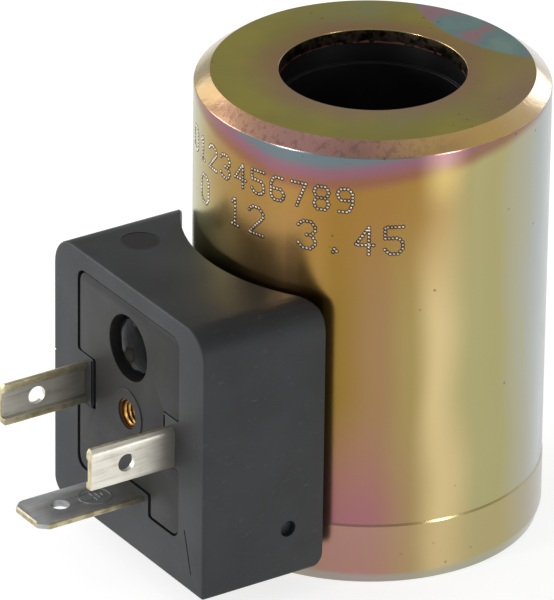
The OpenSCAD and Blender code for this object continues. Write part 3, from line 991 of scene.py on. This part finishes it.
def make_insert():
    """A brass insert with a real M3 thread: 0.5 mm pitch, cut 0.27 mm deep."""
    pitch, deep, sides, per_turn = 0.5 * MM, 0.27 * MM, 48, 10
    major, mouth, fade_length, lip = 1.5 * MM, 1.6 * MM, 0.3 * MM, 0.15 * MM
    front, back = insert_low.y, insert_high.y
    length = 6 * MM
    steps = round(length / pitch * per_turn)
    work = bmesh.new()

    def point(radius, y, side):
        angle = 2 * math.pi * side / sides
        place = (radius * math.cos(angle), y, SCREW_HEIGHT + radius * math.sin(angle))
        return work.verts.new(place)

    thread = []
    for k in range(steps + 1):
        along = length * k / steps
        fade = min(1.0, along / fade_length)
        row = []
        for side in range(sides):
            phase = (along / pitch + side / sides) % 1.0
            radius = major - deep * (1 - abs(2 * phase - 1))
            row.append(point(radius * fade + mouth * (1 - fade), front + along, side))
        thread.append(row)
    body = [
        (INSERT_RADIUS - lip, front),
        (INSERT_RADIUS, front + lip),
        (INSERT_RADIUS, back - lip),
        (INSERT_RADIUS - lip, back),
    ]
    rows = thread[::-1] + [[point(radius, y, side) for side in range(sides)] for radius, y in body]
    for one, two in zip(rows, rows[1:]):
        for i in range(sides):
            n = (i + 1) % sides
            work.faces.new([one[i], one[n], two[n], two[i]])
    work.faces.new(rows[0])
    work.faces.new(rows[-1])
    insert = smooth(from_bmesh("thread_insert_brass", work), 40)
    return fit(insert, "thread_insert", brass)


def blade_section(outer, inner, inward, middle, half):
    """A folded strip seen end on: flat outside, with two rims along its inner face."""
    rim, channel, slant = 0.85 * MM, 0.4 * MM, 0.12 * MM
    fold, crease, root = 0.7 * MM, 0.16 * MM, 0.1 * MM
    floor = inner - inward * channel
    upper, lower = middle + half - rim, middle - half + rim
    return round_corners(
        [
            (outer, middle - half),
            (outer, middle + half),
            (inner, middle + half),
            (inner, upper),
            (floor, upper - slant),
            (floor, lower + slant),
            (inner, lower),
            (inner, middle - half),
        ],
        [fold, fold, crease, crease, root, root, crease, crease],
        6,
    )


def make_blade(node, side):
    """A current blade: strip folded so that two rims stand along its inner face."""
    low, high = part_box(node)
    middle, half = (low.z + high.z) / 2, (high.z - low.z) / 2
    tip, root = low.y, -26 * MM
    outer, inner = (high.x, low.x) if side > 0 else (low.x, high.x)
    across, thick = (outer + inner) / 2, abs(outer - inner)
    left, right = min(inner, outer), max(inner, outer)
    section = blade_section(outer, inner, -side, middle, half)
    tip_cut, tip_thin, steps = 0.35 * MM, 0.35, 4
    rings = []
    for k in range(steps + 1):
        share = k / steps
        y = tip + tip_cut * share
        squeeze = 1 - (tip_cut / half) * (1 - share)
        thin = 1 - tip_thin * (1 - share) ** 2
        rings.append(
            [((x - across) * thin + across, y, (z - middle) * squeeze + middle) for x, z in section]
        )
    rings.append([(x, root, z) for x, z in section])
    blade = lofted(node + "_tinned", rings)
    tail = boxed(
        "tail", (left, root - 0.2 * MM, middle - MM), (right, -22.5 * MM, middle + MM)
    )
    shoulder_half = half - 0.5 * MM
    shoulder = boxed(
        "shoulder",
        (left, FACE + 0.5 * MM, middle - shoulder_half),
        (right, root, middle + shoulder_half),
    )
    combine(blade, tail, shoulder, action="UNION")
    hole_radius, hole_y = 1.05 * MM, FACE - 6.1 * MM
    pierce_section = [(0, -thick), (hole_radius, -thick), (hole_radius, thick), (0, thick)]
    pierce = turned("pierce", pierce_section, 40)
    turn = Matrix.Rotation(math.pi / 2, 4, "Y")
    pierce.data.transform(Matrix.Translation((across, hole_y, middle)) @ turn)
    combine(blade, pierce)
    soften(blade, 0.04 * MM, 1, 50)
    bare_rim, inner_face = 0.75 * MM, (0, across, side > 0)
    material = tinned_blade(
        node + "_tin",
        [
            [(1, tip + 0.14 * MM, True)],
            [inner_face, (2, middle + half - bare_rim, False)],
            [inner_face, (2, middle - half + bare_rim, True)],
        ],
    )
    return fit(smooth(blade, 40), node, material)


def make_earth_blade():
    """The flat earth blade, with bevelled tip, contact hole and earth sign."""
    tip, root = earth_low.y, earth_high.y
    low, high = earth_low.z, earth_high.z
    half = earth_high.x
    corner, corner_radius, edge = MM, 0.5 * MM, 0.16 * MM
    outline = round_corners(
        [
            (-half, root),
            (-half, tip + corner),
            (-half + corner, tip),
            (half - corner, tip),
            (half, tip + corner),
            (half, root),
        ],
        [0, corner_radius, corner_radius, corner_radius, corner_radius, 0],
        3,
    )
    narrow, short = 1 - edge / half, 1 - edge / (root - tip)
    drawn_in = [(x * narrow, tip + (y - tip) * short + edge) for x, y in outline]
    rings = [
        [(x, y, low) for x, y in drawn_in],
        [(x, y, low + edge) for x, y in outline],
        [(x, y, high - edge) for x, y in outline],
        [(x, y, high) for x, y in drawn_in],
    ]
    blade = lofted("earth_blade_tinned", rings)
    contact_hole, rivet_hole = (1.05 * MM, FACE - 8.6 * MM), (0.8 * MM, -24.2 * MM)
    for radius, y in (contact_hole, rivet_hole):
        combine(blade, rod("pierce", radius, (0, y, low - MM), (0, y, high + MM), 40))
    combine(blade, *earth_mark(high), action="UNION")
    sheared = 0.1 * MM
    material = tinned_blade(
        "earth_blade_tin",
        [
            [(0, half - sheared, False)],
            [(0, -half + sheared, True)],
            [(1, tip + sheared, True)],
        ],
        "8d9092",
        "a9abab",
        "c4c5c3",
    )
    return fit(smooth(blade, 40), "earth_blade", material)


def earth_mark(top):
    """The raised protective-earth sign: a ring, three bars and a stem."""
    low, high, line = top - 0.1 * MM, top + 0.05 * MM, 0.075 * MM
    across, along, radius = 0.3 * MM, -35.7 * MM, 1.8 * MM
    inner, outer = radius - line, radius + line
    section = [(inner, low), (outer, low), (outer, high), (inner, high)]
    marks = [turned("ring", section, 64, "Z", (across, along, 0))]
    for offset, half in ((-0.15 * MM, 0.95 * MM), (0.4 * MM, 0.6 * MM), (0.95 * MM, 0.28 * MM)):
        y = along + offset
        marks.append(boxed("bar", (across - half, y - line, low), (across + half, y + line, high)))
    stem_low, stem_high = along - radius + 0.1 * MM, along - 0.15 * MM
    marks.append(boxed("stem", (across - line, stem_low, low), (across + line, stem_high, high)))
    return marks


# -------------------------------------------------------- repeated, rule-built


def new_tree(name, numbers):
    tree = bpy.data.node_groups.new(name, "GeometryNodeTree")
    face = tree.interface
    face.new_socket("Geometry", in_out="INPUT", socket_type="NodeSocketGeometry")
    for label, value in numbers:
        kind = "NodeSocketInt" if isinstance(value, int) else "NodeSocketFloat"
        face.new_socket(label, in_out="INPUT", socket_type=kind).default_value = value
    face.new_socket("Geometry", in_out="OUTPUT", socket_type="NodeSocketGeometry")
    source = tree.nodes.new("NodeGroupInput")
    sink = tree.nodes.new("NodeGroupOutput")
    return tree, source, sink


def grown(piece, tree, numbers):
    """Runs a node tree on the piece with its numbers, and keeps the plain mesh."""
    step = piece.modifiers.new(tree.name, "NODES")
    step.node_group = tree
    for item in tree.interface.items_tree:
        if item.item_type == "SOCKET" and item.in_out == "INPUT" and item.name in numbers:
            step[item.identifier] = numbers[item.name]
    return settle(piece)


def wound_wire_tree():
    """One closed layer of wire: a spiral swept with a round section."""
    tree, source, sink = new_tree(
        "wound_wire",
        [
            ("Layer radius", 15 * MM),
            ("Foot height", 5 * MM),
            ("Height", 39 * MM),
            ("Turns", 70.0),
            ("Wire radius", 0.25 * MM),
        ],
    )
    nodes, link = tree.nodes, tree.links.new
    spiral = nodes.new("GeometryNodeCurveSpiral")
    spiral.inputs["Resolution"].default_value = 48
    link(source.outputs["Layer radius"], spiral.inputs["Start Radius"])
    link(source.outputs["Layer radius"], spiral.inputs["End Radius"])
    link(source.outputs["Height"], spiral.inputs["Height"])
    link(source.outputs["Turns"], spiral.inputs["Rotations"])
    section = nodes.new("GeometryNodeCurvePrimitiveCircle")
    section.inputs["Resolution"].default_value = 8
    link(source.outputs["Wire radius"], section.inputs["Radius"])
    sweep = nodes.new("GeometryNodeCurveToMesh")
    sweep.inputs["Fill Caps"].default_value = True
    link(spiral.outputs[0], sweep.inputs["Curve"])
    link(section.outputs[0], sweep.inputs["Profile Curve"])
    foot = nodes.new("ShaderNodeCombineXYZ")
    link(source.outputs["Foot height"], foot.inputs["Z"])
    lifted = nodes.new("GeometryNodeTransform")
    link(sweep.outputs[0], lifted.inputs["Geometry"])
    link(foot.outputs[0], lifted.inputs["Translation"])
    both = nodes.new("GeometryNodeJoinGeometry")
    link(source.outputs["Geometry"], both.inputs[0])
    link(lifted.outputs[0], both.inputs[0])
    real = nodes.new("GeometryNodeRealizeInstances")
    link(both.outputs[0], real.inputs[0])
    paint = nodes.new("GeometryNodeSetMaterial")
    paint.inputs["Material"].default_value = copper
    link(real.outputs[0], paint.inputs["Geometry"])
    link(paint.outputs[0], sink.inputs[0])
    return tree


def make_winding():
    """A copper core with its outermost layer of wire really wound."""
    wire, tube = 0.5 * MM, 11.45 * MM
    low, high, outer = winding_low.z, winding_high.z, winding_high.x
    under_wire = outer - 0.55 * wire
    section = [(tube, low), (under_wire, low), (under_wire, high), (tube, high)]
    core = turned("winding_copper", section, 120)
    run = high - low - wire
    sizes = {
        "Layer radius": outer - wire / 2,
        "Foot height": low + wire / 2,
        "Height": run,
        "Turns": run / wire,
        "Wire radius": wire / 2,
    }
    grown(core, wound_wire_tree(), sizes)
    return fit(smooth(core, 40), "winding", copper)


# Strokes of each character on a grid 4 wide and 6 high
DIGITS = {
    "0": [[(0, 1), (0, 5), (1, 6), (3, 6), (4, 5), (4, 1), (3, 0), (1, 0), (0, 1)]],
    "1": [[(1, 5), (2, 6), (2, 0)], [(1, 0), (3, 0)]],
    "2": [[(0, 5), (1, 6), (3, 6), (4, 5), (4, 4), (0, 0), (4, 0)]],
    "3": [
        [(0, 5), (1, 6), (3, 6), (4, 5), (4, 4), (3, 3), (2, 3)],
        [(3, 3), (4, 2), (4, 1), (3, 0), (1, 0), (0, 1)],
    ],
    "4": [[(3, 0), (3, 6), (0, 2), (4, 2)]],
    "5": [[(4, 6), (0, 6), (0, 3.5), (3, 3.5), (4, 2.5), (4, 1), (3, 0), (1, 0), (0, 1)]],
    "6": [[(3.5, 6), (1, 6), (0, 4), (0, 1), (1, 0), (3, 0), (4, 1), (4, 2), (3, 3), (0, 3)]],
    "7": [[(0, 6), (4, 6), (1.5, 0)]],
    "8": [
        [(1, 3), (0, 4), (0, 5), (1, 6), (3, 6), (4, 5), (4, 4), (3, 3), (1, 3)]
        + [(0, 2), (0, 1), (1, 0), (3, 0), (4, 1), (4, 2), (3, 3)]
    ],
    "9": [[(0.5, 0), (3, 0), (4, 2), (4, 5), (3, 6), (1, 6), (0, 5), (0, 4), (1, 3), (4, 3)]],
    ".": [[(1.6, 0), (2.4, 0), (2.4, 0.7), (1.6, 0.7), (1.6, 0)]],
}


def lay_row(work, text, start, end, base, height):
    """Lays a row of digits flat: X is the distance round the can, Y the height."""
    left = math.radians(start) * CAN_RADIUS
    step = (math.radians(end) * CAN_RADIUS - left) / len(text)
    tall = height / 6
    wide = tall * 0.9
    for place, digit in enumerate(text):
        foot = left + step * place
        for stroke in DIGITS.get(digit, []):
            points = [work.verts.new((foot + x * wide, base + y * tall, 0)) for x, y in stroke]
            for one, two in zip(points, points[1:]):
                work.edges.new((one, two))


def peened_tree(pale, dark):
    """Dots along flat strokes, wrapped round a cylinder and standing on its wall."""
    tree, source, sink = new_tree(
        "peened_dots",
        [
            ("Can radius", 19.5 * MM),
            ("Dot pitch", 0.4 * MM),
            ("Dot radius", 0.145 * MM),
            ("Dot rise", 0.06 * MM),
        ],
    )
    nodes, link = tree.nodes, tree.links.new

    def maths(operation, a, b=None):
        node = nodes.new("ShaderNodeMath")
        node.operation = operation
        for socket, value in zip(node.inputs, (a, b)):
            if isinstance(value, bpy.types.NodeSocket):
                link(value, socket)
            elif value is not None:
                socket.default_value = value
        return node.outputs[0]

    strokes = nodes.new("GeometryNodeMeshToCurve")
    link(source.outputs["Geometry"], strokes.inputs["Mesh"])
    dots = nodes.new("GeometryNodeResampleCurve")
    dots.mode = "LENGTH"
    link(strokes.outputs[0], dots.inputs["Curve"])
    link(source.outputs["Dot pitch"], dots.inputs["Length"])
    where = nodes.new("GeometryNodeInputPosition")
    parts = nodes.new("ShaderNodeSeparateXYZ")
    link(where.outputs[0], parts.inputs[0])
    reach = source.outputs["Can radius"]
    turn = maths("DIVIDE", parts.outputs[0], reach)
    wrapped = nodes.new("ShaderNodeCombineXYZ")
    link(maths("MULTIPLY", maths("COSINE", turn), reach), wrapped.inputs[0])
    link(maths("MULTIPLY", maths("SINE", turn), reach), wrapped.inputs[1])
    link(parts.outputs[1], wrapped.inputs[2])
    bend = nodes.new("GeometryNodeSetPosition")
    link(dots.outputs[0], bend.inputs["Geometry"])
    link(wrapped.outputs[0], bend.inputs["Position"])

    outward = nodes.new("ShaderNodeCombineXYZ")
    here = nodes.new("ShaderNodeSeparateXYZ")
    again = nodes.new("GeometryNodeInputPosition")
    link(again.outputs[0], here.inputs[0])
    link(here.outputs[0], outward.inputs[0])
    link(here.outputs[1], outward.inputs[1])
    aim = nodes.new("FunctionNodeAlignEulerToVector")
    aim.axis = "Z"
    link(outward.outputs[0], aim.inputs["Vector"])

    top_share = 0.45

    def standing(scale, rise, material):
        """A low cone on every dot, facing outwards."""
        cone = nodes.new("GeometryNodeMeshCone")
        cone.inputs["Vertices"].default_value = 10
        cone.inputs["Side Segments"].default_value = 2
        foot = source.outputs["Dot radius"]
        link(maths("MULTIPLY", foot, scale * top_share), cone.inputs["Radius Top"])
        link(maths("MULTIPLY", foot, scale), cone.inputs["Radius Bottom"])
        link(maths("MULTIPLY", source.outputs["Dot rise"], rise), cone.inputs["Depth"])
        spread = nodes.new("GeometryNodeInstanceOnPoints")
        link(bend.outputs[0], spread.inputs["Points"])
        link(cone.outputs["Mesh"], spread.inputs["Instance"])
        link(aim.outputs[0], spread.inputs["Rotation"])
        real = nodes.new("GeometryNodeRealizeInstances")
        link(spread.outputs[0], real.inputs[0])
        paint = nodes.new("GeometryNodeSetMaterial")
        paint.inputs["Material"].default_value = material
        link(real.outputs[0], paint.inputs["Geometry"])
        return paint.outputs[0]

    # Each dot: a pale cone as painted highlight on a wider dark foot as painted shade
    stamps = nodes.new("GeometryNodeJoinGeometry")
    link(standing(1.0, 1.0, pale), stamps.inputs[0])
    link(standing(1.75, 0.25, dark), stamps.inputs[0])
    link(stamps.outputs[0], sink.inputs[0])
    return tree


def make_marks():
    """Two rows of dotted digits on the can's wall."""
    # Pale tops and dark, wider feet on the dots: painted highlight and painted shade of the peened
    # dents
    pale = plain_metal("peened_dot_highlight", "a89c8e", "e6ddd2", 0.35)
    dark = plain_metal("peened_dot_shade", "3c3327", "5b4a35", 0.45)
    work = bmesh.new()
    lay_row(work, "0123456789", -113, -37, 45.2 * MM, 2.7 * MM)
    lay_row(work, "0 12 3.45", -104, -20, 40.3 * MM, 3.2 * MM)
    mesh = bpy.data.meshes.new("peened_digits")
    work.to_mesh(mesh)
    work.free()
    marks = new_piece("peened_digits", mesh)
    sizes = {
        "Can radius": CAN_RADIUS + 0.005 * MM,
        "Dot pitch": 0.4 * MM,
        "Dot radius": 0.145 * MM,
        "Dot rise": 0.06 * MM,
    }
    grown(marks, peened_tree(pale, dark), sizes)
    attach(marks, RIG)
    return marks


make_can()
make_ring()
make_bobbin()
make_block()
make_carrier()
make_plug()
make_insert()
make_blade("terminal_blade_1", -1)
make_blade("terminal_blade_2", 1)
make_earth_blade()
make_winding()
make_marks()

for node, material in (
    ("winding_tape", film),
    ("earth_strap", strip),
    ("earth_rivet", rivet),
    ("lead_start", copper),
    ("lead_finish", copper),
    ("sleeve_start", sleeve),
    ("sleeve_finish", sleeve),
    ("solder_start", solder_tin),
    ("solder_finish", solder_tin),
):
    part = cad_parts[node]
    part.data.materials.clear()
    part.data.materials.append(material)


# ----------------------------------------------------------------- the studio


def aimed(place, target):
    """A matrix that looks from place to target."""
    look = (Vector(target) - Vector(place)).normalized()
    turn = look.to_track_quat("-Z", "Y").to_matrix().to_4x4()
    return Matrix.Translation(place) @ turn


def soft_light(name, azimuth, elevation, distance, size, watts):
    """A rectangular light aimed at the coil, placed by its angles in degrees."""
    lamp = bpy.data.lights.new(name, "AREA")
    lamp.shape = "RECTANGLE"
    lamp.size, lamp.size_y = size
    lamp.energy = watts
    around, up = math.radians(azimuth), math.radians(elevation)
    level = math.cos(up)
    away = Vector((math.cos(around) * level, math.sin(around) * level, math.sin(up)))
    target = Vector((0, -6 * MM, 26 * MM))
    holder = bpy.data.objects.new(name, lamp)
    bpy.context.scene.collection.objects.link(holder)
    holder.matrix_world = aimed(target + distance * away, target)
    return holder


def make_floor():
    """A pale table just under the coil, with a little light of its own."""
    work = bmesh.new()
    bmesh.ops.create_grid(work, x_segments=8, y_segments=8, size=3)
    mesh = bpy.data.meshes.new("studio_floor")
    work.to_mesh(mesh)
    work.free()
    mesh.transform(Matrix.Translation((0, 0, -0.02 * MM)))
    floor = new_piece("studio_floor", mesh)
    dark, light = (0.4, 0.4, 0.4), (0.43, 0.43, 0.43)
    made = Finish("pale_table", dark, 0.8, 0.0, 0.1)
    made.colour(made.ramp(made.noise(4, 2), [(0.3, dark), (0.7, light)]))
    made.shader.inputs["Emission Color"].default_value = (1, 1, 1, 1)
    made.shader.inputs["Emission Strength"].default_value = 0.74
    mesh.materials.append(made.material)


def make_world():
    """Plain white light from all round."""
    world = bpy.data.worlds.new("studio")
    world.use_nodes = True
    bpy.context.scene.world = world
    back = world.node_tree.nodes["Background"]
    back.inputs["Color"].default_value = (1, 1, 1, 1)
    back.inputs["Strength"].default_value = 0.5


def make_camera():
    """A long lens that looks down on the block's corner."""
    azimuth, elevation, roll = math.radians(56.6), math.radians(27.0), math.radians(0.74)
    distance, sideways, upward = 902.3 * MM, -10.10 * MM, 22.03 * MM
    level = math.cos(elevation)
    back = Vector((math.sin(azimuth) * level, -math.cos(azimuth) * level, math.sin(elevation)))
    right = Vector((math.cos(azimuth), math.sin(azimuth), 0))
    up = back.cross(right)
    place = back * distance + right * sideways + up * upward
    rolled_right = right * math.cos(roll) + up * math.sin(roll)
    rolled_up = up * math.cos(roll) - right * math.sin(roll)
    turn = Matrix((rolled_right, rolled_up, back)).transposed().to_4x4()
    lens = bpy.data.cameras.new("studio_camera")
    lens.lens = 485.87
    lens.sensor_width = 36
    lens.clip_start = 0.05
    lens.clip_end = 20
    camera = bpy.data.objects.new("studio_camera", lens)
    bpy.context.scene.collection.objects.link(camera)
    camera.matrix_world = Matrix.Translation(place) @ turn
    bpy.context.scene.camera = camera


make_floor()
make_world()
make_camera()
soft_light("key_right", 14, 8, 0.9, (0.14, 0.4), 1.5)
soft_light("fill_left", -140, 18, 1.0, (0.5, 0.6), 4.5)
soft_light("overhead", 120, 78, 1.1, (0.9, 0.9), 0.3)
soft_light("strip_front", -87, 5, 0.9, (0.12, 0.4), 4.0)
soft_light("back_right", 113, 17, 1.0, (0.3, 0.35), 0.6)
soft_light("back_left", -175, 24, 1.0, (0.25, 0.4), 0.8)

bpy.context.scene.view_settings.view_transform = "Standard"
bpy.context.scene.view_settings.look = "None"
